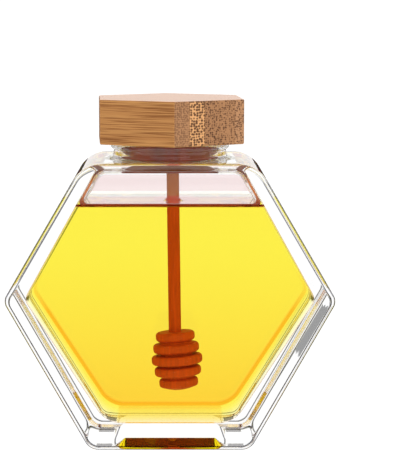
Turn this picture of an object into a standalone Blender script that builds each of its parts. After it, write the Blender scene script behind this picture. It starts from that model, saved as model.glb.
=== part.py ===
"""Honey jar: a thick hexagonal glass jar of honey, shut by a bamboo lid that carries the dipper.

Metres, +Z up. The origin is the middle of the base. The broad hexagonal face looks along -Y.
"""

import math

import bmesh
import bpy
from mathutils import Matrix, Vector

# Driving dimensions of the jar. Half widths are to the unrounded corners of the hexagon.
JAR = {
    "half_width": 0.0598,
    "top": 0.1038,
    "top_half_width": 0.0310,
    "bottom": 0.0,
    "bottom_half_width": 0.0291,
    "half_depth": 0.0285,
    "edge": 0.0020,  # rounding between the broad faces and the rim
    "radii": {"side": 0.004, "top": 0.011, "bottom": 0.005},
}
CAVITY = {
    "half_width": 0.0526,
    "top": 0.1023,
    "top_half_width": 0.0261,
    "bottom": 0.0088,
    "bottom_half_width": 0.0232,
    "half_depth": 0.0220,
    "edge": 0.0025,
    "radii": {"side": 0.004, "top": 0.004, "bottom": 0.010},
}
SIDE_CORNER_Z = 0.0545  # height of the two side corners, outside and inside

# Recess under the base, which leaves a rim to stand on. Its sides slope.
RECESS_HALF_X = 0.0208
RECESS_HALF_Y = 0.0225
RECESS_CORNER = 0.0045
RECESS_RUN = 0.0044  # how far in from its outline it reaches its full depth
RECESS_DEPTH = 0.0031

# Neck and its beaded lip.
LIP_RADIUS = 0.0217
LIP_HEIGHT = 0.0024
WAIST_RADIUS = 0.0206
FLARE = 0.0046
BORE_RADIUS = 0.0182
BORE_EDGE = 0.0020  # rounding where the bore meets the shoulder's inside
LIP_TOP_Z = 0.1095

GAP = 0.0003  # between pieces that touch

# Lid and stopper.
LID_ACROSS_CORNERS = 0.0602
LID_HEIGHT = 0.0162
LID_TURN = math.radians(3.0)  # its front corner stands a little to the right
LID_EDGE = 0.0007
STOPPER_LENGTH = 0.0090
STOPPER_TAPER = 0.0003
STOPPER_EDGE = 0.0008
SOCKET_DEPTH = 0.0045

# Honey.
HONEY_LEVEL = 0.0880

# Dipper: a stem, and a head of rounded ribs whose axis leans a little more than the stem.
STEM_RADIUS = 0.0023
STEM_LEAN = math.radians(0.8)
STEM_TOP = Vector((0.0009, 0.0, 0.1060))
STEM_TOP_EDGE = 0.0004
HEAD_LEAN = math.radians(4.3)
HEAD_TOP_Z = 0.0402
RIB_RADII = (0.0072, 0.0085, 0.0094, 0.0086, 0.0072)
RIB_PITCH = 0.00435
RIB_THICKNESS = 0.0034
RIB_EDGE = 0.0011
CORE_RADIUS = 0.0060
HEAD_DOME = 0.0012  # how far the lowest rib bulges below its rounding

CORNER_STEPS = 5
EDGE_STEPS = 5
ROUND_SIDES = 48
DIPPER_SIDES = 28
RIB_STEPS = 3


def clear_scene():
    for obj in list(bpy.data.objects):
        bpy.data.objects.remove(obj, do_unlink=True)


def make_material(name, colour, roughness, transmission=0.0):
    material = bpy.data.materials.new(name)
    material.use_nodes = True
    shader = material.node_tree.nodes["Principled BSDF"]
    shader.inputs["Base Color"].default_value = (*colour, 1.0)
    shader.inputs["Roughness"].default_value = roughness
    shader.inputs["Metallic"].default_value = 0.0
    shader.inputs["Transmission Weight"].default_value = transmission
    material.diffuse_color = (*colour, 1.0)
    return material


def new_object(name, mesh, material=None):
    obj = bpy.data.objects.new(name, mesh)
    bpy.context.scene.collection.objects.link(obj)
    if material:
        mesh.materials.append(material)
    return obj


def loft(name, rings, material=None):
    """A closed solid through rings of equally many points, its two ends capped."""
    bm = bmesh.new()
    loops = [[bm.verts.new(point) for point in ring] for ring in rings]
    count = len(loops[0])
    for lower, upper in zip(loops, loops[1:]):
        for i in range(count):
            j = (i + 1) % count
            bm.faces.new((lower[i], lower[j], upper[j], upper[i]))
    bm.faces.new(list(reversed(loops[0])))
    bm.faces.new(loops[-1])
    bmesh.ops.recalc_face_normals(bm, faces=bm.faces)
    mesh = bpy.data.meshes.new(name)
    bm.to_mesh(mesh)
    bm.free()
    return new_object(name, mesh, material)


def turned(name, profile, sides, material=None, placed=Matrix.Identity(4)):
    """A closed solid of revolution about Z. The profile's (radius, z) points run upwards, off the axis."""
    rings = []
    for radius, z in profile:
        angles = [math.tau * i / sides for i in range(sides)]
        ring = [Vector((radius * math.cos(a), radius * math.sin(a), z)) for a in angles]
        rings.append([placed @ point for point in ring])
    return loft(name, rings, material)


def arc(centre, radius, start, end, steps):
    """Points of an arc, with its angles in degrees."""
    angles = [math.radians(start + (end - start) * i / steps) for i in range(steps + 1)]
    return [(centre[0] + radius * math.cos(a), centre[1] + radius * math.sin(a)) for a in angles]


def rounded_outline(corners, radii, steps=CORNER_STEPS):
    """Points round a convex polygon, anticlockwise, each corner an arc of its own radius."""
    points = []
    count = len(corners)
    for i, (corner, radius) in enumerate(zip(corners, radii)):
        here = Vector(corner)
        back = (Vector(corners[i - 1]) - here).normalized()
        ahead = (Vector(corners[(i + 1) % count]) - here).normalized()
        half_angle = back.angle(ahead) / 2
        bisector = (back + ahead).normalized()
        centre = here + bisector * radius / math.sin(half_angle)
        swing = math.pi / 2 - half_angle
        middle = math.atan2(-bisector.y, -bisector.x)
        for k in range(steps + 1):
            angle = middle - swing + 2 * swing * k / steps
            points.append(centre + radius * Vector((math.cos(angle), math.sin(angle))))
    return points


def hexagon(block):
    """Outline of a block's hexagon as (x, z) points, its corners rounded."""
    corners = [
        (block["half_width"], SIDE_CORNER_Z),
        (block["top_half_width"], block["top"]),
        (-block["top_half_width"], block["top"]),
        (-block["half_width"], SIDE_CORNER_Z),
        (-block["bottom_half_width"], block["bottom"]),
        (block["bottom_half_width"], block["bottom"]),
    ]
    kinds = ("side", "top", "top", "side", "bottom", "bottom")
    return rounded_outline(corners, [block["radii"][kind] for kind in kinds])


def rounded_prism(name, block, material=None):
    """The hexagon drawn out along Y. It shrinks a little towards both broad faces, which rounds them."""
    outline = hexagon(block)
    across = block["half_width"] * math.sin(math.radians(60))
    edge = block["edge"]
    angles = [math.pi / 2 * i / EDGE_STEPS for i in range(EDGE_STEPS + 1)]
    steps = [(block["half_depth"] - edge + edge * math.sin(a), 1 - edge * (1 - math.cos(a)) / across)
             for a in angles]
    stations = [(-y, size) for y, size in reversed(steps)] + steps
    rings = []
    for y, size in stations:
        rings.append([Vector((size * x, y, SIDE_CORNER_Z + size * (z - SIDE_CORNER_Z)))
                      for x, z in outline])
    return loft(name, rings, material)


def join(target, other, operation):
    """Applies a Boolean of target with other, and removes other."""
    modifier = target.modifiers.new(operation.title(), "BOOLEAN")
    modifier.object = other
    modifier.operation = operation
    modifier.solver = "EXACT"
    graph = bpy.context.evaluated_depsgraph_get()
    mesh = bpy.data.meshes.new_from_object(target.evaluated_get(graph))
    target.modifiers.remove(modifier)
    old = target.data
    target.data = mesh
    bpy.data.meshes.remove(old)
    bpy.data.objects.remove(other, do_unlink=True)


def smooth(obj, angle=35):
    obj.data.shade_smooth()
    obj.data.set_sharp_from_angle(angle=math.radians(angle))


def neck_solid():
    """The neck's outside: a concave flare up from the shoulder, a waist, and the rounded lip."""
    bead = LIP_HEIGHT / 2
    bead_z = LIP_TOP_Z - bead
    profile = [(WAIST_RADIUS + FLARE, JAR["top"] - 0.004)]
    waist_z = bead_z - bead
    flare_height = waist_z - (JAR["top"] - 0.0002)
    for i in range(EDGE_STEPS + 1):
        angle = math.pi / 2 * i / EDGE_STEPS
        profile.append((WAIST_RADIUS + FLARE * (1 - math.sin(angle)),
                        waist_z - flare_height * math.cos(angle)))
    profile += arc((LIP_RADIUS - bead, bead_z), bead, -70, 90, 2 * EDGE_STEPS)
    return turned("neck", profile, ROUND_SIDES)


def bore_solid():
    """What the neck's bore takes out, its lower end rounded over into the cavity."""
    ceiling = CAVITY["top"]
    profile = [(BORE_RADIUS + BORE_EDGE, ceiling - 0.002)]
    profile += [(BORE_RADIUS + BORE_EDGE - x, z) for x, z in
                arc((0.0, ceiling + BORE_EDGE), BORE_EDGE, -90, 0, EDGE_STEPS)]
    profile += [(BORE_RADIUS, LIP_TOP_Z - 0.0008), (BORE_RADIUS + 0.0008, LIP_TOP_Z),
                (BORE_RADIUS + 0.0008, LIP_TOP_Z + 0.002)]
    return turned("bore", profile, ROUND_SIDES)


def recess_solid():
    """What the recess under the base takes out: a shallow pan with sloping sides."""
    rings = []
    for z, inset in ((-0.001, 0.0), (0.0, 0.0), (RECESS_DEPTH, RECESS_RUN)):
        half_x = RECESS_HALF_X - inset
        half_y = RECESS_HALF_Y - inset
        corners = [(half_x, half_y), (-half_x, half_y), (-half_x, -half_y), (half_x, -half_y)]
        outline = rounded_outline(corners, [RECESS_CORNER - inset] * 4)
        rings.append([Vector((x, y, z)) for x, y in outline])
    return loft("recess", rings)


def cavity_solid(name, grow=0.0, material=None):
    """The space inside the glass below the neck, made larger by grow (smaller if negative)."""
    block = dict(CAVITY)
    block["half_width"] += grow * 2 / math.sqrt(3)
    block["top_half_width"] += grow / math.sqrt(3)
    block["bottom_half_width"] += grow / math.sqrt(3)
    block["top"] += grow
    block["bottom"] -= grow
    block["half_depth"] += grow
    return rounded_prism(name, block, material)


def make_jar(material):
    jar = rounded_prism("jar", JAR, material)
    join(jar, neck_solid(), "UNION")
    inside = cavity_solid("cavity")
    join(inside, bore_solid(), "UNION")
    join(jar, inside, "DIFFERENCE")
    join(jar, recess_solid(), "DIFFERENCE")
    smooth(jar)
    return jar


def rib_profile(grow=0.0):
    """The head's outline as (radius, height above the head's lowest point), running upwards."""
    edge = RIB_EDGE + grow
    core = CORE_RADIUS + grow
    ribs = [radius + grow for radius in reversed(RIB_RADII)]
    flat = ribs[0] - edge
    profile = [(flat * share, HEAD_DOME * share ** 2 - grow) for share in (0.3, 0.6, 0.85)]
    for i, rib in enumerate(ribs):
        bottom = HEAD_DOME + i * RIB_PITCH - grow
        top = HEAD_DOME + i * RIB_PITCH + RIB_THICKNESS + grow
        if i > 0:
            profile += [(core, bottom - 0.0001), (core + 0.0001, bottom)]
        profile += arc((rib - edge, bottom + edge), edge, -90, 0, RIB_STEPS)
        profile += arc((rib - edge, top - edge), edge, 0, 90, RIB_STEPS)
        if i < len(ribs) - 1:
            profile += [(core + 0.0001, top), (core, top + 0.0001)]
    return profile


def head_placing():
    """Stands the head on its leaning axis, its top on the stem's axis at HEAD_TOP_Z."""
    drop = STEM_TOP.z - HEAD_TOP_Z
    top = Vector((STEM_TOP.x + drop * math.tan(STEM_LEAN), STEM_TOP.y, HEAD_TOP_Z))
    height = HEAD_DOME + RIB_THICKNESS + (len(RIB_RADII) - 1) * RIB_PITCH
    lean = Matrix.Rotation(-HEAD_LEAN, 4, "Y")
    return Matrix.Translation(top) @ lean @ Matrix.Translation((0, 0, -height))


def dipper_solid(name, grow=0.0, top=None, material=None):
    """Stem and ribbed head in one, made larger by grow. top is the height that the stem runs up to."""
    head = turned(name, rib_profile(grow), DIPPER_SIDES, material, head_placing())
    length = (STEM_TOP.z - HEAD_TOP_Z) / math.cos(STEM_LEAN)
    if top is None:
        end = length
        edge = STEM_TOP_EDGE
    else:
        end = length + (top - STEM_TOP.z) / math.cos(STEM_LEAN)
        edge = 0.0
    radius = STEM_RADIUS + grow
    profile = [(radius, -RIB_THICKNESS), (radius, end - edge)]
    if edge:
        profile.append((radius - edge, end))
    foot = Vector((STEM_TOP.x + (STEM_TOP.z - HEAD_TOP_Z) * math.tan(STEM_LEAN), STEM_TOP.y, HEAD_TOP_Z))
    placed = Matrix.Translation(foot) @ Matrix.Rotation(-STEM_LEAN, 4, "Y")
    stem = turned("stem", profile, DIPPER_SIDES, None, placed)
    join(head, stem, "UNION")
    return head


def make_honey(material):
    honey = cavity_solid("honey", -GAP, material)
    bpy.ops.mesh.primitive_cube_add(size=1)
    above = bpy.context.object
    for vertex in above.data.vertices:
        vertex.co = (0.2 * vertex.co.x, 0.2 * vertex.co.y, HONEY_LEVEL + 0.1 * (vertex.co.z + 0.5))
    join(honey, above, "DIFFERENCE")
    join(honey, dipper_solid("dipper_room", GAP, HONEY_LEVEL + 0.005), "DIFFERENCE")
    smooth(honey)
    return honey


def make_lid(material):
    bottom = LIP_TOP_Z + GAP
    radius = LID_ACROSS_CORNERS / 2
    angles = [LID_TURN - math.pi / 2 + math.tau * i / 6 for i in range(6)]
    rings = [[Vector((radius * math.cos(a), radius * math.sin(a), z)) for a in angles]
             for z in (bottom, bottom + LID_HEIGHT)]
    lid = loft("lid", rings, material)
    bevel = lid.modifiers.new("Bevel", "BEVEL")
    bevel.width = LID_EDGE
    bevel.segments = 2
    bevel.limit_method = "ANGLE"
    return lid


def make_stopper(material):
    """The round plug under the lid, with the socket that holds the dipper's stem."""
    top = LIP_TOP_Z
    bottom = top - STOPPER_LENGTH
    radius = BORE_RADIUS - GAP
    profile = [(radius - STOPPER_TAPER - STOPPER_EDGE, bottom),
               (radius - STOPPER_TAPER, bottom + STOPPER_EDGE),
               (radius, top - 0.0005),
               (radius, top)]
    stopper = turned("stopper", profile, ROUND_SIDES, material)
    socket = STEM_RADIUS + GAP
    axis = Matrix.Translation(STEM_TOP) @ Matrix.Rotation(-STEM_LEAN, 4, "Y")
    profile = [(socket, -2 * SOCKET_DEPTH), (socket, GAP)]
    join(stopper, turned("socket", profile, DIPPER_SIDES, None, axis), "DIFFERENCE")
    smooth(stopper)
    return stopper


def make_dipper(material):
    dipper = dipper_solid("dipper", material=material)
    smooth(dipper)
    return dipper


def main():
    clear_scene()
    glass = make_material("clear_glass", (0.95, 0.97, 0.97), 0.02, 1.0)
    honey = make_material("honey", (0.98, 0.62, 0.05), 0.03, 0.6)
    bamboo = make_material("bamboo", (0.43, 0.18, 0.058), 0.5)
    plug_wood = make_material("stopper_wood", (0.20, 0.075, 0.027), 0.6)
    dipper_wood = make_material("dipper_wood", (0.33, 0.11, 0.03), 0.55)
    make_jar(glass)
    make_honey(honey)
    make_lid(bamboo)
    make_stopper(plug_wood)
    make_dipper(dipper_wood)


main()
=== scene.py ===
import math

import bmesh
import bpy
from mathutils import Matrix, Vector


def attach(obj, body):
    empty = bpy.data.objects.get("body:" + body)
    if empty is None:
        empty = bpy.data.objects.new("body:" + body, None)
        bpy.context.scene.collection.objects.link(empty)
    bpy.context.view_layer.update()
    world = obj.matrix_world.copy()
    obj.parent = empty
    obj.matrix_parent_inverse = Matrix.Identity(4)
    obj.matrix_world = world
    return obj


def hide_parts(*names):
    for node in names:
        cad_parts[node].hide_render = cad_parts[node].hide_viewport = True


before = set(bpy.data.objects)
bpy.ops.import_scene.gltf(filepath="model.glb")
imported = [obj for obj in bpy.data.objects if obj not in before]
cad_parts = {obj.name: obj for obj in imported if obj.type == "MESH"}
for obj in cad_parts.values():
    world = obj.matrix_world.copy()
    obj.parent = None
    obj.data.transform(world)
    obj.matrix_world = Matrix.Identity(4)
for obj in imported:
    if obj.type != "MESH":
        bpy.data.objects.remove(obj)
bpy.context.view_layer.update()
mm = 0.001
touching = 0.01 * mm  # corners this close count as one


# small helpers, used by every piece

def hexToLinear(code):
    # a colour as a chart gives it, in the linear values that nodes take
    channels = [int(code[i:i + 2], 16) / 255 for i in (1, 3, 5)]
    linear = [c / 12.92 if c <= 0.04045 else ((c + 0.055) / 1.055) ** 2.4 for c in channels]
    return (*linear, 1.0)


white = hexToLinear("#ffffff")


def addNode(tree, kind, settings=None, **inputs):
    # settings are the node's own fields. an input goes by its socket's name, or by its number as i0, i1
    # and so on, and is a number, a colour, a socket, or a node, which stands for its first output in use
    node = tree.nodes.new("ShaderNode" + kind)
    for name, value in (settings or {}).items():
        setattr(node, name, value)
    for name, value in inputs.items():
        key = int(name[1:]) if name[0] == "i" and name[1:].isdigit() else name.replace("_", " ")
        if isinstance(value, bpy.types.Node):
            value = next(output for output in value.outputs if output.enabled)
        if isinstance(value, bpy.types.NodeSocket):
            tree.links.new(value, node.inputs[key])
        else:
            node.inputs[key].default_value = value
    return node


mixColours = {"data_type": "RGBA"}
tintColours = {"data_type": "RGBA", "blend_type": "MULTIPLY"}
mixNumbers = {"data_type": "FLOAT"}


def setStops(ramp, stops):
    # stops are (place, colour) from left to right
    elements = ramp.color_ramp.elements
    while len(elements) < len(stops):
        elements.new(0.5)
    for element, (place, colour) in zip(elements, stops):
        element.position = place
        element.color = colour


def newMaterial(name):
    material = bpy.data.materials.new(name)
    material.use_nodes = True
    material.node_tree.nodes.clear()
    return material, material.node_tree


def clearSelection():
    if bpy.context.object and bpy.context.object.mode != "OBJECT":
        bpy.ops.object.mode_set(mode="OBJECT")
    bpy.ops.object.select_all(action="DESELECT")


def makeActive(obj):
    clearSelection()
    obj.select_set(True)
    bpy.context.view_layer.objects.active = obj


def startEdit(obj):
    makeActive(obj)
    bpy.ops.object.mode_set(mode="EDIT")
    bpy.ops.mesh.select_mode(type="FACE")
    bpy.ops.mesh.select_all(action="SELECT")


def selectFaces(obj, pick):
    bpy.ops.mesh.select_mode(type="FACE")
    bpy.ops.mesh.select_all(action="DESELECT")
    mesh = bmesh.from_edit_mesh(obj.data)
    for face in mesh.faces:
        if pick(face.calc_center_median(), face.normal):
            face.select_set(True)
    bmesh.update_edit_mesh(obj.data)


def selectEdges(obj, pick):
    bpy.ops.mesh.select_mode(type="EDGE")
    bpy.ops.mesh.select_all(action="DESELECT")
    mesh = bmesh.from_edit_mesh(obj.data)
    for edge in mesh.edges:
        if pick(edge.verts[0].co, edge.verts[1].co):
            edge.select_set(True)
    bmesh.update_edit_mesh(obj.data)


def selectCorners(obj, pick):
    bpy.ops.mesh.select_mode(type="VERT")
    bpy.ops.mesh.select_all(action="DESELECT")
    mesh = bmesh.from_edit_mesh(obj.data)
    for vertex in mesh.verts:
        vertex.select_set(pick(vertex.co))
    mesh.select_flush(True)
    bmesh.update_edit_mesh(obj.data)


def endEdit():
    # all faces look outwards
    bpy.ops.mesh.select_all(action="SELECT")
    bpy.ops.mesh.normals_make_consistent(inside=False)
    clearSelection()


def extrudeSteps(steps, centre, along):
    # the selected face goes out step by step: (size against the first ring, place along the axis)
    lastSize, lastPlace = steps[0]
    for size, place in steps[1:]:
        move = along * (place - lastPlace)
        bpy.ops.mesh.extrude_region_move(TRANSFORM_OT_translate={"value": tuple(move)})
        ratio = size / lastSize
        scale = [ratio if abs(a) < 0.5 else 1.0 for a in along]
        bpy.ops.transform.resize(value=scale, center_override=centre)
        lastSize, lastPlace = size, place


def applyBoolean(target, other, operation):
    makeActive(target)
    modifier = target.modifiers.new("cut", "BOOLEAN")
    modifier.object = other
    modifier.operation = operation
    modifier.solver = "EXACT"
    modifier.material_mode = "TRANSFER"
    bpy.ops.object.modifier_apply(modifier=modifier.name)
    bpy.data.objects.remove(other, do_unlink=True)


def applyPlace(obj):
    makeActive(obj)
    bpy.ops.object.transform_apply(location=True, rotation=True, scale=True)


def shadeSmooth(obj, degrees=40):
    makeActive(obj)
    bpy.ops.object.shade_smooth_by_angle(angle=math.radians(degrees))
    modifier = obj.modifiers.new("flat faces stay flat", "WEIGHTED_NORMAL")
    modifier.mode = "FACE_AREA"
    modifier.weight = 100
    modifier.keep_sharp = True
    bpy.ops.object.modifier_apply(modifier=modifier.name)


def finishPiece(obj, name, node, materials):
    obj.name = name
    obj.data.name = name
    obj.data.materials.clear()
    for material in materials:
        obj.data.materials.append(material)
    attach(obj, "root")
    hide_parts(node)


def roundCorners(block, size, corners):
    # a bevel takes the length cut off the edges, not the radius, so each corner's angle is worked out
    for kind in ("bottom", "side", "top"):
        x, z = corners[kind]
        there = Vector((x, z))
        first, second = Vector(corners["side"]), Vector((-x, z))
        if kind == "side":
            first, second = Vector(corners["top"]), Vector(corners["bottom"])
        half = (first - there).angle(second - there) / 2
        selectCorners(block, lambda co: abs(abs(co.x) - x) < touching and abs(co.z - z) < touching)
        bpy.ops.mesh.bevel(offset=size[kind + "Radius"] / math.tan(half), segments=size["cornerSteps"],
                           affect="VERTICES")


def hexBlock(name, size):
    # a six-cornered plate, its corners rounded, drawn out along Y and rounded over at both ends
    middle, halfDepth, edge = size["cornerHeight"], size["halfDepth"], size["edge"]
    clearSelection()
    bpy.ops.mesh.primitive_circle_add(vertices=6, radius=1, fill_type="NGON",
                                      rotation=(math.radians(90), math.radians(90), 0))
    block = bpy.context.object
    block.name = name
    applyPlace(block)
    corners = {"side": (size["halfWidth"], middle), "top": (size["topHalfWidth"], size["top"]),
               "bottom": (size["bottomHalfWidth"], size["bottom"])}
    for corner in block.data.vertices:
        kind = "side" if abs(corner.co.z) < 0.1 else "top" if corner.co.z > 0 else "bottom"
        x, z = corners[kind]
        corner.co = (math.copysign(x, corner.co.x), -(halfDepth - edge), z)
    startEdit(block)
    roundCorners(block, size, corners)
    bpy.ops.mesh.select_mode(type="FACE")
    bpy.ops.mesh.select_all(action="SELECT")
    bpy.ops.mesh.extrude_region_move(
        TRANSFORM_OT_translate={"value": (0, 2 * (halfDepth - edge), 0)})
    across = size["halfWidth"] * math.sin(math.radians(60))
    roundOver = []
    for step in range(size["edgeSteps"] + 1):
        a = math.pi / 2 * step / size["edgeSteps"]
        roundOver.append((1 - edge * (1 - math.cos(a)) / across, edge * math.sin(a)))
    for end in (1, -1):
        selectFaces(block, lambda c, n: abs(n.y) > 0.9 and c.y * end > 0)
        extrudeSteps(roundOver, (0, 0, middle), Vector((0, end, 0)))
    endEdit()
    return block


def roundStack(name, profile, sides=96, centre=(0, 0)):
    # a disc drawn up through rings: (radius, height), first at the bottom
    radius, height = profile[0]
    clearSelection()
    bpy.ops.mesh.primitive_circle_add(vertices=sides, radius=radius, fill_type="NGON",
                                      location=(*centre, height))
    stack = bpy.context.object
    stack.name = name
    applyPlace(stack)
    startEdit(stack)
    extrudeSteps(profile, (*centre, 0), Vector((0, 0, 1)))
    endEdit()
    return stack


def arcPoints(centreRadius, centreHeight, radius, startDegrees, endDegrees, count):
    points = []
    for i in range(count + 1):
        a = math.radians(startDegrees + (endDegrees - startDegrees) * i / count)
        points.append((centreRadius + radius * math.cos(a), centreHeight + radius * math.sin(a)))
    return points


# the glass jar

jarSize = {
    "halfWidth": 59.8 * mm, "top": 103.8 * mm, "topHalfWidth": 31.0 * mm,
    "bottom": 0.0, "bottomHalfWidth": 29.1 * mm, "cornerHeight": 54.5 * mm, "halfDepth": 28.5 * mm,
    "edge": 2.0 * mm, "sideRadius": 4.0 * mm, "topRadius": 11.0 * mm, "bottomRadius": 5.0 * mm,
    "edgeSteps": 12, "cornerSteps": 12,
}
cavitySize = {
    "halfWidth": 52.6 * mm, "top": 102.3 * mm, "topHalfWidth": 26.1 * mm,
    "bottom": 8.8 * mm, "bottomHalfWidth": 23.2 * mm, "cornerHeight": 54.5 * mm, "halfDepth": 22.0 * mm,
    "edge": 2.5 * mm, "sideRadius": 4.0 * mm, "topRadius": 4.0 * mm, "bottomRadius": 10.0 * mm,
    "edgeSteps": 12, "cornerSteps": 12,
}
recessSize = {"halfX": 20.8 * mm, "halfY": 22.5 * mm, "corner": 4.5 * mm, "run": 4.4 * mm,
              "depth": 3.1 * mm, "rise": ((0.03, 0.02), (0.97, 0.98), (1.0, 1.0)), "below": 1 * mm}
neckSize = {
    "lipRadius": 21.7 * mm, "lipHeight": 2.4 * mm, "waistRadius": 20.6 * mm, "flare": 4.6 * mm,
    "flareSteps": 12, "sunk": 3 * mm, "boreRadius": 18.2 * mm, "lipTop": 109.5 * mm,
    "mouthRounding": 2.0 * mm, "lipRounding": 0.8 * mm,
}
honeySize = {"level": 88.0 * mm, "halfWidth": 34.0 * mm, "rise": 1.1 * mm, "overlap": 0.05 * mm,
             "stemRise": 2.2 * mm, "stemSpread": 2.0 * mm}

glassTint = {
    # the line colour is painted reflection: dark lines for the dark room that the rounded edges bend into
    # view
    "ior": 1.52, "waves": 14.3 * mm, "line": "#303035", "lineFull": 97 * mm, "lineGone": 101 * mm,
    # the foot colour is painted shade, a dark patch under the foot
    "foot": "#3f302c", "footInner": 21.1 * mm, "footMiddle": 18.5 * mm, "footHalfDepth": 5.75 * mm,
}
smearAndOutline = {
    "shore": 99.0 * mm, "wander": 5 * mm, "wanderEvery": 16.7 * mm, "smear": "#eccece", "line": "#cec5ce",
    "corner": 4.3 * mm, "sideOutline": 1.3 * mm, "topOutline": 0.7 * mm, "middleOutline": 1.4 * mm,
    # low, high and top colour a painted outline round the near wall
    "low": "#81270a", "high": "#c47338", "top": "#6f3f27", "corners": "#f3dd30",
}


def paintEdgeLinesAndFootShade(tree, place):
    # painted reflection: thin dark lines are painted into the rounded edges, for the dark room that they
    # bend into view; shoulder and neck stay clear
    s = glassTint
    dark = hexToLinear(s["line"])
    axes = addNode(tree, "SeparateXYZ", Vector=place.outputs["Object"])
    facing = addNode(tree, "SeparateXYZ", Vector=place.outputs["Normal"])
    broad = addNode(tree, "Math", {"operation": "ABSOLUTE"}, i0=facing.outputs["Y"])  # 0 on the rim
    paintedEdgeLines = addNode(tree, "ValToRGB", Fac=broad)
    setStops(paintedEdgeLines, ((0.02, white), (0.1, dark), (0.6, dark), (0.78, white),
                     (0.92, white), (0.95, dark), (0.985, dark), (0.998, white)))
    lower = addNode(tree, "MapRange", Value=axes.outputs["Z"], From_Min=s["lineGone"],
                    From_Max=s["lineFull"])
    withPaintedEdgeLines = addNode(tree, "Mix", mixColours, i0=lower, i6=white, i7=paintedEdgeLines)
    # painted shade: a dark patch, no longer clear, is painted on the underside of the foot, for the shaded
    # floor under the jar that the base mirrors
    sideways = addNode(tree, "Math", {"operation": "ABSOLUTE"}, i0=axes.outputs["X"])
    aside = addNode(tree, "MapRange", Value=sideways, From_Min=s["footInner"] - 0.2 * mm,
                    From_Max=s["footInner"] + 0.2 * mm)
    depth = addNode(tree, "Math", {"operation": "ABSOLUTE"}, i0=axes.outputs["Y"])
    past = addNode(tree, "Math", {"operation": "SUBTRACT"}, i0=depth, i1=s["footMiddle"])
    far = addNode(tree, "Math", {"operation": "ABSOLUTE"}, i0=past)
    strip = addNode(tree, "MapRange", Value=far, From_Min=s["footHalfDepth"] + 0.25 * mm,
                    From_Max=s["footHalfDepth"] - 0.25 * mm)
    under = addNode(tree, "MapRange", Value=axes.outputs["Z"], From_Min=0.1 * mm, From_Max=0.05 * mm)
    patch = addNode(tree, "Math", {"operation": "MULTIPLY"}, i0=aside, i1=strip)
    paintedFootShade = addNode(tree, "Math", {"operation": "MULTIPLY"}, i0=patch, i1=under)
    colour = addNode(tree, "Mix", mixColours, i0=paintedFootShade, i6=withPaintedEdgeLines, i7=hexToLinear(s["foot"]))
    clear = addNode(tree, "Math", {"operation": "SUBTRACT"}, i0=1.0, i1=paintedFootShade)
    return colour, clear


def smearFarWall(tree, place, axes):
    # a thin pink smear of honey, up to a shore line that wanders
    s = smearAndOutline
    back = addNode(tree, "MapRange", Value=axes.outputs["Y"], From_Min=0.0, From_Max=15 * mm)
    shore = addNode(tree, "TexNoise", Vector=place.outputs["Object"], Scale=1 / s["wanderEvery"],
                    Detail=2.0)
    bent = addNode(tree, "Math", {"operation": "MULTIPLY_ADD"}, i0=shore, i1=s["wander"],
                   i2=axes.outputs["Z"])
    above = addNode(tree, "Math", {"operation": "SUBTRACT"}, i0=bent, i1=s["shore"])
    wetter = addNode(tree, "MapRange", Value=above, From_Min=0.3 * mm, From_Max=-0.3 * mm)
    smear = addNode(tree, "Math", {"operation": "MULTIPLY"}, i0=wetter, i1=back)
    smeared = addNode(tree, "Mix", mixColours, i0=smear, i6=white, i7=hexToLinear(s["smear"]))
    fromShore = addNode(tree, "Math", {"operation": "ABSOLUTE"}, i0=above)
    close = addNode(tree, "MapRange", Value=fromShore, From_Min=0.7 * mm, From_Max=0.2 * mm)
    line = addNode(tree, "Math", {"operation": "MULTIPLY"}, i0=close, i1=back)
    return addNode(tree, "Mix", tintColours, i0=line, i6=smeared, i7=hexToLinear(s["line"]))


def outsideRoundedBox(tree, aside, up):
    # how far a point lies outside a rectangle with round corners, whose sides lean like the cavity's. it
    # is less than nothing inside
    level, top, corner = honeySize["level"], cavitySize["top"], smearAndOutline["corner"]
    lean = (honeySize["halfWidth"] - cavitySize["topHalfWidth"]) / (top - level)
    halfHeight = (top - level) / 2
    straight = addNode(tree, "Math", {"operation": "MULTIPLY_ADD"}, i0=up, i1=lean, i2=aside)
    sideways = addNode(tree, "Math", {"operation": "SUBTRACT"}, i0=straight,
                       i1=honeySize["halfWidth"] - corner)
    fromMiddle = addNode(tree, "Math", {"operation": "SUBTRACT"}, i0=up, i1=halfHeight)
    apart = addNode(tree, "Math", {"operation": "ABSOLUTE"}, i0=fromMiddle)
    upright = addNode(tree, "Math", {"operation": "SUBTRACT"}, i0=apart, i1=halfHeight - corner)
    reach = addNode(tree, "CombineXYZ", X=sideways, Y=upright)
    outer = addNode(tree, "VectorMath", {"operation": "MAXIMUM"}, i0=reach, i1=(0, 0, 0))
    past = addNode(tree, "VectorMath", {"operation": "LENGTH"}, i0=outer)
    larger = addNode(tree, "Math", {"operation": "MAXIMUM"}, i0=sideways, i1=upright)
    inner = addNode(tree, "Math", {"operation": "MINIMUM"}, i0=larger, i1=0.0)
    both = addNode(tree, "Math", {"operation": "ADD"}, i0=past, i1=inner)
    return addNode(tree, "Math", {"operation": "SUBTRACT"}, i0=both, i1=corner)


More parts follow.
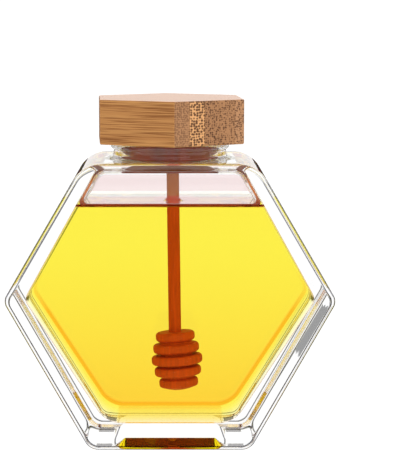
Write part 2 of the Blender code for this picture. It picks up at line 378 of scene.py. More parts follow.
def smearAndPaintOutline(tree, place):
    # inside the headspace the far wall is smeared, and a brown outline, no longer clear, is painted in the
    # corner all round the
    # near wall: painted refraction of the honey and the stopper, which the rounded edge bends into view
    s = smearAndOutline
    axes = addNode(tree, "SeparateXYZ", Vector=place.outputs["Object"])
    smeared = smearFarWall(tree, place, axes)
    aside = addNode(tree, "Math", {"operation": "ABSOLUTE"}, i0=axes.outputs["X"])
    up = addNode(tree, "Math", {"operation": "SUBTRACT"}, i0=axes.outputs["Z"], i1=honeySize["level"])
    beyond = outsideRoundedBox(tree, aside, up)
    # it is thinner at the top, but for the middle, under the stopper
    high = addNode(tree, "MapRange", Value=up, From_Min=9 * mm, From_Max=12 * mm)
    topWidth = addNode(tree, "MapRange", Value=aside, From_Min=17 * mm, From_Max=13 * mm,
                       To_Min=s["topOutline"], To_Max=s["middleOutline"])
    width = addNode(tree, "Mix", mixNumbers, i0=high, i2=s["sideOutline"], i3=topWidth)
    within = addNode(tree, "Math", {"operation": "ADD"}, i0=beyond, i1=width)
    bead = addNode(tree, "MapRange", Value=within, From_Min=-0.2 * mm, From_Max=0.0)
    front = addNode(tree, "MapRange", Value=axes.outputs["Y"], From_Min=-20.6 * mm, From_Max=-20.9 * mm)
    paintedNearOutline = addNode(tree, "Math", {"operation": "MULTIPLY"}, i0=bead, i1=front)
    thick = addNode(tree, "MapRange", Value=up, From_Min=1 * mm, From_Max=5 * mm)
    sides = addNode(tree, "Mix", mixColours, i0=thick, i6=hexToLinear(s["low"]), i7=hexToLinear(s["high"]))
    outline = addNode(tree, "Mix", mixColours, i0=high, i6=sides, i7=hexToLinear(s["top"]))
    # the corners below it are full of honey
    outside = addNode(tree, "MapRange", Value=beyond, From_Min=0.0, From_Max=0.15 * mm)
    low = addNode(tree, "MapRange", Value=up, From_Min=5 * mm, From_Max=4 * mm)
    inCorner = addNode(tree, "Math", {"operation": "MULTIPLY"}, i0=outside, i1=low)
    filled = addNode(tree, "Mix", mixColours, i0=inCorner, i6=outline, i7=hexToLinear(s["corners"]))
    colour = addNode(tree, "Mix", mixColours, i0=paintedNearOutline, i6=smeared, i7=filled)
    clear = addNode(tree, "Math", {"operation": "SUBTRACT"}, i0=1.0, i1=paintedNearOutline)
    return colour, clear


def makeClearGlass(name, tint):
    # soda-lime glass, pressed in a mould and fire polished: very smooth, and faintly wavy, so that what
    # the eye sees through it bends a little. tint gives its colour and how clear it is
    material, tree = newMaterial(name)
    place = addNode(tree, "TexCoord")
    colour, clear = tint(tree, place)
    waves = addNode(tree, "TexNoise", Vector=place.outputs["Object"], Scale=1 / glassTint["waves"],
                    Detail=1.0, Roughness=0.4)
    bump = addNode(tree, "Bump", Height=waves, Strength=0.25, Distance=0.12 * mm)
    glass = addNode(tree, "BsdfPrincipled", Base_Color=colour, Roughness=0.0, IOR=glassTint["ior"],
                    Transmission_Weight=clear, Normal=bump)
    mixClear(tree, glass)
    return material


def mixClear(tree, shader, volume=None):
    # lamps and soft light go straight through, so that what stands inside is lit
    path = addNode(tree, "LightPath")
    straight = addNode(tree, "Math", {"operation": "MAXIMUM"}, i0=path.outputs["Is Shadow Ray"],
                       i1=path.outputs["Is Diffuse Ray"])
    clear = addNode(tree, "BsdfTransparent", Color=hexToLinear("#fcfcfc"))
    mix = addNode(tree, "MixShader", i0=straight, i1=shader, i2=clear)
    output = addNode(tree, "OutputMaterial", Surface=mix)
    if volume:
        tree.links.new(volume.outputs[0], output.inputs["Volume"])


def makeWetGlass():
    # the glass wall where the honey lies against it: the two bend light alike, so the wall is not seen
    material, tree = newMaterial("glassWettedByHoney")
    clear = addNode(tree, "BsdfTransparent", Color=white)
    addNode(tree, "OutputMaterial", Surface=clear)
    return material


clearGlass = makeClearGlass("pressedSodaLimeGlass", paintEdgeLinesAndFootShade)
smearedGlass = makeClearGlass("glassSmearedWithHoney", smearAndPaintOutline)
wetGlass = makeWetGlass()


def makeCavity(grow=0.0):
    # grow moves every wall out by that much
    size = dict(cavitySize)
    size["halfWidth"] += grow * 2 / math.sqrt(3)
    size["topHalfWidth"] += grow / math.sqrt(3)
    size["bottomHalfWidth"] += grow / math.sqrt(3)
    size["bottom"] -= grow
    size["top"] += grow
    size["halfDepth"] += grow
    return hexBlock("cavity", size)


def makeRecess():
    # the hollow under the base: a shallow pan with a sloping side, softened where it starts and ends
    s = recessSize
    clearSelection()
    bpy.ops.mesh.primitive_plane_add(size=2, location=(0, 0, -s["below"]))
    pan = bpy.context.object
    pan.scale = (s["halfX"], s["halfY"], 1)
    applyPlace(pan)
    startEdit(pan)
    selectCorners(pan, lambda co: True)
    bpy.ops.mesh.bevel(offset=s["corner"], segments=10, affect="VERTICES")
    bpy.ops.mesh.select_mode(type="FACE")
    bpy.ops.mesh.select_all(action="SELECT")
    bpy.ops.mesh.extrude_region_move(TRANSFORM_OT_translate={"value": (0, 0, s["below"])})
    lastIn, lastUp = 0.0, 0.0
    for inward, up in s["rise"]:
        selectFaces(pan, lambda c, n: n.z > 0.99)
        bpy.ops.mesh.inset(thickness=s["run"] * (inward - lastIn), depth=s["depth"] * (up - lastUp))
        lastIn, lastUp = inward, up
    endEdit()
    return pan


def makeNeck():
    # a foot that flares into the shoulder, a waist and a beaded lip
    s = neckSize
    bead = s["lipHeight"] / 2
    waistTop = s["lipTop"] - s["lipHeight"]
    drop = waistTop - jarSize["top"] + 0.05 * mm
    profile = [(s["waistRadius"] + s["flare"], jarSize["top"] - s["sunk"])]
    for i in range(s["flareSteps"] + 1):
        a = math.pi / 2 * i / s["flareSteps"]
        profile.append((s["waistRadius"] + s["flare"] * (1 - math.sin(a)), waistTop - drop * math.cos(a)))
    profile += arcPoints(s["lipRadius"] - bead, s["lipTop"] - bead, bead, -75, 90, 20)
    return roundStack("neck", profile)


def makeBore():
    # the way through the neck, rounded where it meets the ceiling of the headspace and at the lip
    s = neckSize
    ceiling, bore = cavitySize["top"], s["boreRadius"]
    inner, outer = s["mouthRounding"], s["lipRounding"]
    profile = [(bore + inner, ceiling - 2 * mm)]
    profile += [(bore + inner - x, z) for x, z in arcPoints(0.0, ceiling + inner, inner, -90, 0, 10)]
    profile += [(bore, s["lipTop"] - outer)]
    profile += [(bore + outer - x, z) for x, z in arcPoints(0.0, s["lipTop"] - outer, outer, 0, 90, 6)]
    profile += [(bore + outer, s["lipTop"] + 1 * mm)]
    return roundStack("bore", profile)


def makeJar():
    jar = hexBlock("jar", jarSize)
    applyBoolean(jar, makeNeck(), "UNION")
    # each cutter carries the material of the wall that it leaves
    inside = makeCavity()
    wetTop = honeySize["level"] + honeySize["rise"]
    startEdit(inside)
    bpy.ops.mesh.bisect(plane_co=(0, 0, wetTop), plane_no=(0, 0, 1))
    clearSelection()
    for material in (smearedGlass, wetGlass):
        inside.data.materials.append(material)
    for face in inside.data.polygons:
        face.material_index = 1 if face.center.z < wetTop else 0
    bore = makeBore()
    bore.data.materials.append(clearGlass)
    applyBoolean(inside, bore, "UNION")
    jar.data.materials.append(clearGlass)
    applyBoolean(jar, inside, "DIFFERENCE")
    pan = makeRecess()
    pan.data.materials.append(clearGlass)
    applyBoolean(jar, pan, "DIFFERENCE")
    order = [clearGlass, wetGlass, smearedGlass]
    used = [material or clearGlass for material in jar.data.materials]
    indices = [order.index(used[face.material_index]) for face in jar.data.polygons]
    shadeSmooth(jar)
    finishPiece(jar, "glassJar", "jar", order)
    jar.data.polygons.foreach_set("material_index", indices)
    return jar


jar = makeJar()
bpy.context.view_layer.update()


# the honey

stemSize = {"radius": 2.3 * mm, "top": Vector((0.9 * mm, 0, 106.0 * mm)), "lean": math.radians(0.8)}
honeyTint = {
    # these colours are painted light: shade low on the far wall, lines in the rounded edges, and shade where
    # the honey curves up the glass and stem
    "ior": 1.485, "paintedLowShade": "#ffc7ad", "paintedFarLine": "#ffa24b", "paintedNearLine": "#cb9e76", "rim": "#953f1d",
    "paintedStemRim": "#ffb36c", "density": 63.0,
    "takenPerMetre": (1.0, 3.9, 61.0),  # how strongly red, green and blue fade in it
}


def stemPlace(height):
    drop = stemSize["top"].z - height
    return stemSize["top"].x + drop * math.tan(stemSize["lean"])


def tintHoney(tree, place):
    s = honeySize
    names = ("paintedLowShade", "paintedFarLine", "paintedNearLine", "rim", "paintedStemRim")
    tint = {name: hexToLinear(honeyTint[name]) for name in names}
    axes = addNode(tree, "SeparateXYZ", Vector=place.outputs["Object"])
    facing = addNode(tree, "SeparateXYZ", Vector=place.outputs["Normal"])
    broad = addNode(tree, "Math", {"operation": "ABSOLUTE"}, i0=facing.outputs["Y"])  # 0 on the rim
    back = addNode(tree, "MapRange", Value=axes.outputs["Y"], From_Min=0.0, From_Max=15 * mm)
    front = addNode(tree, "MapRange", Value=axes.outputs["Y"], From_Min=-14 * mm, From_Max=-18 * mm)
    # painted shade: the far wall is painted deeper towards the bottom, for the honey-tinted shade on the
    # floor behind the jar
    low = addNode(tree, "MapRange", Value=axes.outputs["Z"], From_Min=72 * mm, From_Max=10 * mm)
    towardsBottom = addNode(tree, "Math", {"operation": "POWER"}, i0=low, i1=1.25)
    flat = addNode(tree, "MapRange", Value=broad, From_Min=0.6, From_Max=0.95)
    farWall = addNode(tree, "Math", {"operation": "MULTIPLY"}, i0=flat, i1=back)
    amount = addNode(tree, "Math", {"operation": "MULTIPLY"}, i0=farWall, i1=towardsBottom)
    paintedLowShade = addNode(tree, "Mix", mixColours, i0=amount, i6=white, i7=tint["paintedLowShade"])
    # painted refraction: an orange line is painted in the far edge's rounding and a thin brown one in the
    # near edge's, for the shaded floor they bend into view
    lower = addNode(tree, "MapRange", Value=axes.outputs["Z"], From_Min=62 * mm, From_Max=45 * mm)
    paintedFarLine = addNode(tree, "ValToRGB", Fac=broad)
    setStops(paintedFarLine, ((0.05, white), (0.3, tint["paintedFarLine"]), (0.8, tint["paintedFarLine"]), (0.97, white)))
    farAmount = addNode(tree, "Math", {"operation": "MULTIPLY"}, i0=back, i1=lower)
    edged = addNode(tree, "Mix", tintColours, i0=farAmount, i6=paintedLowShade, i7=paintedFarLine)
    paintedNearLine = addNode(tree, "ValToRGB", Fac=broad)
    setStops(paintedNearLine, ((0.03, white), (0.15, tint["paintedNearLine"]), (0.4, tint["paintedNearLine"]), (0.7, white)))
    outlined = addNode(tree, "Mix", tintColours, i0=front, i6=edged, i7=paintedNearLine)
    # painted shade: the edge that the honey draws up the near glass is painted dark, where its curve bends
    # light the long way through the honey
    climbing = addNode(tree, "MapRange", Value=axes.outputs["Z"], From_Min=s["level"] + 0.05 * mm,
                       From_Max=s["level"] + 0.3 * mm)
    rim = addNode(tree, "Math", {"operation": "MULTIPLY"}, i0=climbing, i1=front)
    withPaintedRim = addNode(tree, "Mix", tintColours, i0=rim, i6=outlined, i7=tint["rim"])
    # painted shade: and orange where it climbs the stem, where its curve bends light the long way through
    # the honey
    fromStem = addNode(tree, "VectorMath", {"operation": "DISTANCE"}, i0=place.outputs["Object"],
                       i1=(stemPlace(s["level"]), 0, s["level"] + 1.5 * mm))
    nearStem = addNode(tree, "MapRange", Value=fromStem, From_Min=5 * mm, From_Max=4 * mm)
    paintedStemRim = addNode(tree, "Math", {"operation": "MULTIPLY"}, i0=climbing, i1=nearStem)
    return addNode(tree, "Mix", tintColours, i0=paintedStemRim, i6=withPaintedRim, i7=tint["paintedStemRim"])


def makeHoneyMaterial():
    # clear acacia honey: the eye sees bright yellow through it, and amber where the way through is long.
    # it bends light as honey does against air, and hardly at all against the glass
    s = honeyTint
    material, tree = newMaterial("clearHoney")
    place = addNode(tree, "TexCoord")
    tinted = tintHoney(tree, place)
    toAir = addNode(tree, "Attribute", {"attribute_name": "openToAir"})
    ior = addNode(tree, "MapRange", Value=toAir.outputs["Fac"], To_Min=s["ior"] / glassTint["ior"],
                  To_Max=s["ior"])
    # its level top mirrors more than its sides
    facing = addNode(tree, "SeparateXYZ", Vector=place.outputs["Normal"])
    level = addNode(tree, "MapRange", Value=facing.outputs["Z"], From_Min=0.97, From_Max=0.99)
    skin = addNode(tree, "BsdfPrincipled", Base_Color=tinted, Roughness=0.0, Transmission_Weight=1.0,
                   IOR=ior, Coat_Weight=level, Coat_IOR=2.0, Coat_Roughness=0.0)
    passed = [1 - taken / s["density"] for taken in s["takenPerMetre"]]
    body = addNode(tree, "VolumeAbsorption", Color=(*passed, 1), Density=s["density"])
    mixClear(tree, skin, body)
    return material


def makeHoney():
    s = honeySize
    top = s["level"] + s["rise"]
    honey = makeCavity(s["overlap"])
    startEdit(honey)
    bpy.ops.mesh.bisect(plane_co=(0, 0, top), plane_no=(0, 0, 1), clear_outer=True, use_fill=True)
    clearSelection()
    honey.data.materials.append(honeyMaterial)
    # the air over it is cut out, so that a thin edge of honey is left standing up the glass
    air = makeCavity()
    startEdit(air)
    bpy.ops.mesh.bisect(plane_co=(0, 0, s["level"]), plane_no=(0, 0, 1), clear_inner=True, use_fill=True)
    selectEdges(air, lambda a, b: max(abs(a.z - s["level"]), abs(b.z - s["level"])) < touching / 10)
    bpy.ops.mesh.bevel(offset=s["rise"], segments=8, affect="EDGES")
    clearSelection()
    air.data.materials.append(clearGlass)
    # and so that it climbs the stem
    steps, foot = 10, stemSize["radius"] - 0.1 * mm
    flare = [(stemSize["radius"] + s["stemSpread"], s["level"] - 1 * mm)]
    for i in range(steps + 1):
        a = math.pi / 2 * i / steps
        flare.append((foot + s["stemSpread"] * (1 - math.sin(a)),
                      s["level"] + s["stemRise"] * (1 - math.cos(a))))
    flare.append((foot, s["level"] + s["stemRise"] + 1 * mm))
    climb = roundStack("climb", flare, sides=64, centre=(stemPlace(s["level"]), 0))
    climb.data.materials.append(clearGlass)
    applyBoolean(air, climb, "DIFFERENCE")
    applyBoolean(honey, air, "DIFFERENCE")
    openSlot = list(honey.data.materials).index(clearGlass)
    openFaces = [float(face.material_index == openSlot or face.center.z > top - touching / 10)
                 for face in honey.data.polygons]
    shadeSmooth(honey)
    mark = honey.data.attributes.new("openToAir", "FLOAT", "FACE")
    mark.data.foreach_set("value", openFaces)
    for face in honey.data.polygons:
        face.material_index = 0
    finishPiece(honey, "honeyFill", "honey", [honeyMaterial])
    return honey


honeyMaterial = makeHoneyMaterial()
honey = makeHoney()
print("honey", len(honey.data.polygons))


# the bamboo lid

lidSize = {"acrossCorners": 60.1 * mm, "height": 16.2 * mm, "bottom": 109.8 * mm,
           "turn": math.radians(3.0), "edge": 0.5 * mm}
bamboo = {
    "fibres": math.radians(-27), "strip": 5.6 * mm, "firstJoint": 0.66, "coarseStrip": -3, "plainStrip": -4,
    "coarseDots": 0.95 * mm, "fineDots": 0.72 * mm, "wideStreak": 2.0 * mm, "thinStreak": 0.42 * mm,
    "stretch": 0.02, "darkStreak": "#8a4f16", "darkFlesh": "#bb7c3e", "lightFlesh": "#dc9f5a",
    "darkEnd": "#b07c50", "lightEnd": "#cc966a", "coarseEnd": "#eaac70", "dot": "#4c2810",
    # the last two colours are painted light: a paler sheen on the top and shade on the underside
    "glue": "#7d5128", "paintedTopSheen": "#ffe8dc", "paintedUnderShade": "#4e2410",
}


def makeLid():
    s = lidSize
    clearSelection()
    bpy.ops.mesh.primitive_cylinder_add(vertices=6, radius=s["acrossCorners"] / 2, depth=s["height"],
                                        location=(0, 0, s["bottom"] + s["height"] / 2),
                                        rotation=(0, 0, s["turn"]))
    lid = bpy.context.object
    applyPlace(lid)
    startEdit(lid)
    bpy.ops.mesh.select_mode(type="EDGE")
    bpy.ops.mesh.select_all(action="SELECT")
    bpy.ops.mesh.bevel(offset=s["edge"], segments=4, affect="EDGES")
    clearSelection()
    shadeSmooth(lid)
    return lid


def drawStreaks(tree, along):
    # streaks along the fibres: wide soft ones and thin dark ones
    s = bamboo
    wide = addNode(tree, "TexNoise", Vector=along, Scale=1 / s["wideStreak"], Detail=3.0, Roughness=0.6)
    thin = addNode(tree, "TexNoise", Vector=along, Scale=1 / s["thinStreak"], Detail=2.0, Roughness=0.6)
    wideSpread = addNode(tree, "MapRange", Value=wide, From_Min=0.3, From_Max=0.7)
    thinSpread = addNode(tree, "MapRange", Value=thin, From_Min=0.36, From_Max=0.54)
    flesh = addNode(tree, "Mix", mixColours, i0=wideSpread, i6=hexToLinear(s["darkFlesh"]),
                    i7=hexToLinear(s["lightFlesh"]))
    return addNode(tree, "Mix", mixColours, i0=thinSpread, i6=hexToLinear(s["darkStreak"]), i7=flesh)


def drawDots(tree, along, index):
    # dots on the sawn ends: each strip has a tone of its own, one has coarse dots and one hardly any
    s = bamboo
    isCoarse = addNode(tree, "Math", {"operation": "COMPARE"}, i0=index, i1=s["coarseStrip"], i2=0.1)
    isPlain = addNode(tree, "Math", {"operation": "COMPARE"}, i0=index, i1=s["plainStrip"], i2=0.1)
    coarse = addNode(tree, "TexVoronoi", {"feature": "F1"}, Vector=along, Scale=1 / s["coarseDots"],
                     Randomness=0.5)
    fine = addNode(tree, "TexVoronoi", {"feature": "F1"}, Vector=along, Scale=1 / s["fineDots"],
                   Randomness=0.5)
    coarseDots = addNode(tree, "MapRange", Value=coarse, From_Min=0.58, From_Max=0.36, To_Max=0.9)
    fineDots = addNode(tree, "MapRange", Value=fine, From_Min=0.6, From_Max=0.36, To_Max=0.9)
    dots = addNode(tree, "Mix", mixNumbers, i0=isCoarse, i2=fineDots, i3=coarseDots)
    share = addNode(tree, "Math", {"operation": "MULTIPLY_ADD"}, i0=isPlain, i1=-0.42, i2=1.0)
    amount = addNode(tree, "Math", {"operation": "MULTIPLY"}, i0=dots, i1=share)
    tone = addNode(tree, "TexWhiteNoise", {"noise_dimensions": "1D"}, W=index)
    toned = addNode(tree, "Mix", mixColours, i0=tone, i6=hexToLinear(s["darkEnd"]),
                    i7=hexToLinear(s["lightEnd"]))
    bright = addNode(tree, "Mix", mixColours, i0=isCoarse, i6=toned, i7=hexToLinear(s["coarseEnd"]))
    end = addNode(tree, "Mix", mixColours, i0=amount, i6=bright, i7=hexToLinear(s["dot"]))
    return end, amount


def makeBamboo():
    # laminated bamboo, sanded: strips glued side by side. the eye sees their fibres as long golden streaks
    # along them, and as dark dots where they are sawn across
    s = bamboo
    material, tree = newMaterial("laminatedBamboo")
    place = addNode(tree, "TexCoord")
    turned = addNode(tree, "Mapping", Vector=place.outputs["Object"], Rotation=(0, 0, -s["fibres"]))
    along = addNode(tree, "Mapping", Vector=turned, Scale=(s["stretch"], 1, 1))
    axes = addNode(tree, "SeparateXYZ", Vector=turned)
    turnedNormal = addNode(tree, "Mapping", {"vector_type": "NORMAL"}, Vector=place.outputs["Normal"],
                           Rotation=(0, 0, -s["fibres"]))
    facing = addNode(tree, "SeparateXYZ", Vector=turnedNormal)
    strips = addNode(tree, "Math", {"operation": "DIVIDE"}, i0=axes.outputs["Y"], i1=s["strip"])
    count = addNode(tree, "Math", {"operation": "ADD"}, i0=strips, i1=s["firstJoint"])
    index = addNode(tree, "Math", {"operation": "FLOOR"}, i0=count)
    within = addNode(tree, "Math", {"operation": "FRACT"}, i0=count)
    side = drawStreaks(tree, along)
    end, dots = drawDots(tree, along, index)
    across = addNode(tree, "Math", {"operation": "ABSOLUTE"}, i0=facing.outputs["X"])
    endOn = addNode(tree, "MapRange", Value=across, From_Min=0.35, From_Max=0.6)
    grain = addNode(tree, "Mix", mixColours, i0=endOn, i6=side, i7=end)
    # a brown line of glue between the strips
    toJoint = addNode(tree, "Math", {"operation": "PINGPONG"}, i0=within, i1=0.5)
    glue = addNode(tree, "MapRange", Value=toJoint, From_Min=0.03, From_Max=0.0, To_Max=0.45)
    seamed = addNode(tree, "Mix", mixColours, i0=glue, i6=grain, i7=hexToLinear(s["glue"]))
    # painted highlight and shade: the top is painted paler, a sheen where it catches the light, and the
    # underside painted dark, the shade it lies in
    top = addNode(tree, "MapRange", Value=facing.outputs["Z"], From_Min=0.7, From_Max=0.95, To_Max=0.56)
    withPaintedSheen = addNode(tree, "Mix", mixColours, i0=top, i6=seamed, i7=hexToLinear(s["paintedTopSheen"]))
    under = addNode(tree, "MapRange", Value=facing.outputs["Z"], From_Min=-0.7, From_Max=-0.95, To_Max=0.9)
    withPaintedUnderShade = addNode(tree, "Mix", mixColours, i0=under, i6=withPaintedSheen, i7=hexToLinear(s["paintedUnderShade"]))
    bump = addNode(tree, "Bump", Height=dots, Strength=0.3, Distance=0.1 * mm)
    skin = addNode(tree, "BsdfPrincipled", Base_Color=withPaintedUnderShade, Roughness=0.55, IOR=1.4, Normal=bump)
    addNode(tree, "OutputMaterial", Surface=skin)
    return material


lid = makeLid()
finishPiece(lid, "bambooLid", "lid", [makeBamboo()])
print("lid")


# the stopper under the lid

stopperSize = {
    "radius": 17.9 * mm, "top": 109.5 * mm, "length": 9.0 * mm, "edge": 0.8 * mm, "soaked": 0.7 * mm,
    "ring": 3 * mm, "light": "#88280a", "dark": "#5c1804", "soakedAndHoneyLitLight": "#7c2710", "soakedAndHoneyLitDark": "#5a1a0a",
}


def makeTurnedWood(name, s, soakedBelow):
    # hardwood turned on a lathe, dull and slightly furry: the eye sees its grain run up and down, and a
    # darker, redder wood where honey has got to it; on the dipper, under the honey, that red is also painted
    # light, for the honey-coloured light that reaches it
    material, tree = newMaterial(name)
    place = addNode(tree, "TexCoord")
    upright = addNode(tree, "Mapping", Vector=place.outputs["Object"], Scale=(1, 1, 0.06))
    grain = addNode(tree, "TexNoise", Vector=upright, Scale=1 / s["ring"], Detail=5.0, Roughness=0.65)
    spread = addNode(tree, "MapRange", Value=grain, From_Min=0.3, From_Max=0.7)
    dry = addNode(tree, "Mix", mixColours, i0=spread, i6=hexToLinear(s["dark"]), i7=hexToLinear(s["light"]))
    soaked = addNode(tree, "Mix", mixColours, i0=spread, i6=hexToLinear(s["soakedAndHoneyLitDark"]),
                     i7=hexToLinear(s["soakedAndHoneyLitLight"]))
    axes = addNode(tree, "SeparateXYZ", Vector=place.outputs["Object"])
    soakedAndHoneyLit = addNode(tree, "MapRange", Value=axes.outputs["Z"], From_Min=soakedBelow,
                  From_Max=soakedBelow - 0.5 * mm)
    colour = addNode(tree, "Mix", mixColours, i0=soakedAndHoneyLit, i6=dry, i7=soaked)
    bump = addNode(tree, "Bump", Height=grain, Strength=0.3, Distance=0.1 * mm)
    skin = addNode(tree, "BsdfPrincipled", Base_Color=colour, Roughness=0.6, IOR=1.4, Normal=bump)
    addNode(tree, "OutputMaterial", Surface=skin)
    return material


def makeStopper():
    s = stopperSize
    bottom = s["top"] - s["length"]
    profile = [(s["radius"] - s["edge"], bottom)]
    profile += arcPoints(s["radius"] - s["edge"], bottom + s["edge"], s["edge"], -75, 0, 5)
    profile += [(s["radius"], s["top"] - 1 * mm), (s["radius"], s["top"])]
    stopper = roundStack("stopper", profile)
    shadeSmooth(stopper)
    return stopper


stopper = makeStopper()
finishPiece(stopper, "neckStopper", "stopper",
            [makeTurnedWood("turnedBrownWood", stopperSize,
                            stopperSize["top"] - stopperSize["length"] + stopperSize["soaked"])])
print("stopper")


# the dipper

dipperSize = {
    "headTop": 40.2 * mm, "headLean": math.radians(4.3), "pitch": 4.35 * mm, "thickness": 3.4 * mm,
    "ribs": (7.2 * mm, 8.5 * mm, 9.4 * mm, 8.6 * mm, 7.2 * mm), "core": 6.0 * mm, "rounding": 1.2 * mm,
    "groove": 0.35 * mm, "dome": 1.2 * mm, "stemSunk": 3 * mm, "stemEdge": 0.4 * mm,
    # the soaked colours are wood soaked in honey, painted redder also for the honey-coloured light that
    # reaches it under the honey
    "ring": 1.2 * mm, "light": "#bd6c32", "dark": "#9e5222", "soakedAndHoneyLitLight": "#cc4410",
    "soakedAndHoneyLitDark": "#a6330b",
}


def makeDipper():
    s, t = dipperSize, stemSize
    ribs = list(reversed(s["ribs"]))
    r, groove = s["rounding"], s["groove"]
    height = s["dome"] + s["thickness"] + (len(ribs) - 1) * s["pitch"]
    flat = ribs[0] - r
    profile = [(flat * out, s["dome"] * out * out) for out in (0.1, 0.3, 0.5, 0.7, 0.85, 0.95)]
    for i, rib in enumerate(ribs):
        bottom = s["dome"] + i * s["pitch"]
        top = bottom + s["thickness"]
        if i:
            profile += arcPoints(s["core"] + groove, bottom - groove, groove, 180, 90, 4)
        profile += arcPoints(rib - r, bottom + r, r, -90, 0, 7)
        profile += arcPoints(rib - r, top - r, r, 0, 90, 7)
        if i < len(ribs) - 1:
            profile += arcPoints(s["core"] + groove, top + groove, groove, 270, 180, 4)
    head = roundStack("head", profile, sides=72)
    neck = Matrix.Translation((stemPlace(s["headTop"]), 0, s["headTop"]))
    head.data.transform(neck @ Matrix.Rotation(-s["headLean"], 4, "Y") @ Matrix.Translation((0, 0, -height)))
    length = (t["top"].z - s["headTop"]) / math.cos(t["lean"])
    stem = roundStack("stem", [(t["radius"], -s["stemSunk"]), (t["radius"], length * 0.5),
                               (t["radius"], length - s["stemEdge"]),
                               (t["radius"] - s["stemEdge"], length)], sides=40)
    stem.data.transform(neck @ Matrix.Rotation(-t["lean"], 4, "Y"))
    applyBoolean(head, stem, "UNION")
    shadeSmooth(head, 35)
    return head


dipper = makeDipper()
finishPiece(dipper, "woodenDipper", "dipper",
            [makeTurnedWood("turnedBeech", dipperSize, honeySize["level"] + honeySize["stemRise"])])
print("dipper")


# floor, light and camera

# black and grey cards round the set, in degrees: middle, half width, from and to height, brightness
cards = ((20, 1.5, 0, 35, 0.03), (-20, 1.5, 0, 35, 0.03), (40, 2, 0, 40, 0.03), (-40, 2, 0, 40, 0.03),
         (58, 5, 0, 12, 0.1), (-58, 5, 0, 12, 0.1), (95, 4, 0, 30, 0.03), (-92, 14, 0, 16, 0.12),
         (-62, 26, 8, 40, 0.45))
stageSize = {"floor": 8.0, "below": 0.3 * mm, "floorLight": 1.08, "mirroredLight": 0.03, "greyCard": 0.7,
             "darkCard": 1.25, "aslant": math.radians(57), "slantHalf": math.radians(10), "sky": 1.1}
cameraSize = {"distance": 600 * mm, "height": 158 * mm, "tilt": math.radians(7.84), "focal": 1627,
              "centreX": 170, "centreY": 233.4, "pixelsWide": 405, "pixelsHigh": 464}


def makeFloorMaterial():
    # a white acrylic sheet lit from below: even white to the eye, dim where the glass only mirrors it
    s = stageSize
    material, tree = newMaterial("whiteAcrylicSheet")
    path = addNode(tree, "LightPath")
    mirrored = addNode(tree, "Math", {"operation": "MULTIPLY"}, i0=path.outputs["Is Reflection Ray"],
                       i1=path.outputs["Is Glossy Ray"])
    # a grey card lies far behind on the left, out of the camera's sight
    place = addNode(tree, "TexCoord")
    axes = addNode(tree, "SeparateXYZ", Vector=place.outputs["Object"])
    left = addNode(tree, "MapRange", Value=axes.outputs["X"], From_Min=-0.12, From_Max=-0.13)
    behind = addNode(tree, "MapRange", Value=axes.outputs["Y"], From_Min=0.45, From_Max=0.5)
    onCard = addNode(tree, "Math", {"operation": "MULTIPLY"}, i0=behind, i1=left)
    # and dark ones lie on both sides, aslant behind
    aside = addNode(tree, "Math", {"operation": "ABSOLUTE"}, i0=axes.outputs["X"])
    azimuth = addNode(tree, "Math", {"operation": "ARCTAN2"}, i0=aside, i1=axes.outputs["Y"])
    past = addNode(tree, "Math", {"operation": "SUBTRACT"}, i0=azimuth, i1=s["aslant"])
    off = addNode(tree, "Math", {"operation": "ABSOLUTE"}, i0=past)
    wedge = addNode(tree, "MapRange", Value=off, From_Min=s["slantHalf"] + math.radians(1),
                    From_Max=s["slantHalf"] - math.radians(1), To_Max=s["darkCard"])
    covered = addNode(tree, "Math", {"operation": "MAXIMUM"}, i0=onCard, i1=wedge)
    unseen = addNode(tree, "Math", {"operation": "SUBTRACT"}, i0=1.0, i1=path.outputs["Is Camera Ray"])
    grey = addNode(tree, "Math", {"operation": "MULTIPLY"}, i0=covered, i1=unseen)
    level = addNode(tree, "Math", {"operation": "MULTIPLY_ADD"}, i0=grey,
                    i1=-s["greyCard"] * s["floorLight"], i2=s["floorLight"])
    shine = addNode(tree, "Emission", Color=white, Strength=level)
    dim = addNode(tree, "Emission", Color=white, Strength=s["mirroredLight"])
    seen = addNode(tree, "MixShader", i0=mirrored, i1=shine, i2=dim)
    addNode(tree, "OutputMaterial", Surface=seen)
    return material


def makeFloor():
    clearSelection()
    bpy.ops.mesh.primitive_plane_add(size=stageSize["floor"], location=(0, 0, -stageSize["below"]))
    floor = bpy.context.object
    floor.name = "floor"
    floor.data.materials.append(makeFloorMaterial())


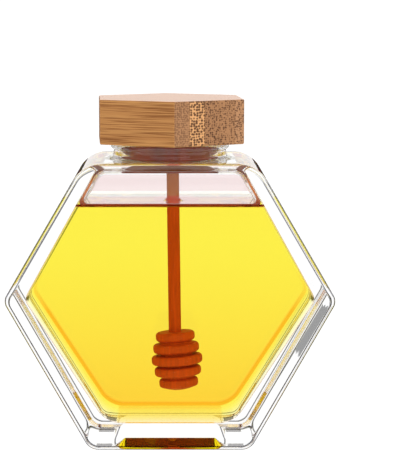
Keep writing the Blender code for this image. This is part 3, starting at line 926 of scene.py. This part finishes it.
def makeWorld():
    # white all round but for the cards, which the camera doesn't see
    world = bpy.data.worlds.new("whiteStudio")
    bpy.context.scene.world = world
    world.use_nodes = True
    tree = world.node_tree
    tree.nodes.clear()
    place = addNode(tree, "TexCoord")
    axes = addNode(tree, "SeparateXYZ", Vector=place.outputs["Generated"])
    azimuth = addNode(tree, "Math", {"operation": "ARCTAN2"}, i0=axes.outputs["X"],
                      i1=axes.outputs["Y"])  # 0 straight behind
    height = addNode(tree, "Math", {"operation": "ARCSINE"}, i0=axes.outputs["Z"])
    lit = 1.0
    for middle, half, low, high, strength in cards:
        sideways = addNode(tree, "Math", {"operation": "SUBTRACT"}, i0=azimuth, i1=math.radians(middle))
        upright = addNode(tree, "Math", {"operation": "SUBTRACT"}, i0=height,
                          i1=math.radians((low + high) / 2))
        across = addNode(tree, "Math", {"operation": "ABSOLUTE"}, i0=sideways)
        upDown = addNode(tree, "Math", {"operation": "ABSOLUTE"}, i0=upright)
        sideEdge = addNode(tree, "Math", {"operation": "SUBTRACT"}, i0=across, i1=math.radians(half))
        topEdge = addNode(tree, "Math", {"operation": "SUBTRACT"}, i0=upDown,
                          i1=math.radians((high - low) / 2))
        edge = addNode(tree, "Math", {"operation": "MAXIMUM"}, i0=sideEdge, i1=topEdge)
        card = addNode(tree, "MapRange", Value=edge, From_Min=math.radians(-0.5),
                       From_Max=math.radians(0.5), To_Min=strength)
        lit = addNode(tree, "Math", {"operation": "MULTIPLY"}, i0=card, i1=lit)
    path = addNode(tree, "LightPath")
    seen = addNode(tree, "Math", {"operation": "MAXIMUM"}, i0=lit, i1=path.outputs["Is Camera Ray"])
    bright = addNode(tree, "Math", {"operation": "MULTIPLY"}, i0=seen, i1=stageSize["sky"])
    sky = addNode(tree, "Background", Color=white, Strength=bright)
    addNode(tree, "OutputWorld", Surface=sky)


def makeCamera():
    # focal is the lens in pixels of the frame
    c = cameraSize
    data = bpy.data.cameras.new("camera")
    camera = bpy.data.objects.new("camera", data)
    bpy.context.scene.collection.objects.link(camera)
    data.sensor_width = 36
    data.lens = c["focal"] * data.sensor_width / c["pixelsHigh"]
    data.shift_x = (c["pixelsWide"] / 2 - c["centreX"]) / c["pixelsHigh"]
    data.shift_y = (c["centreY"] - c["pixelsHigh"] / 2) / c["pixelsHigh"]
    data.clip_start = 0.01
    camera.location = (0, -c["distance"], c["height"])
    camera.rotation_euler = (math.radians(90) - c["tilt"], 0, 0)
    bpy.context.scene.camera = camera


makeFloor()
makeWorld()
makeCamera()
scene = bpy.context.scene
scene.view_settings.view_transform = "Standard"
scene.cycles.max_bounces = 32
scene.cycles.transmission_bounces = 32
scene.cycles.glossy_bounces = 12
scene.cycles.transparent_max_bounces = 32
print("stage")
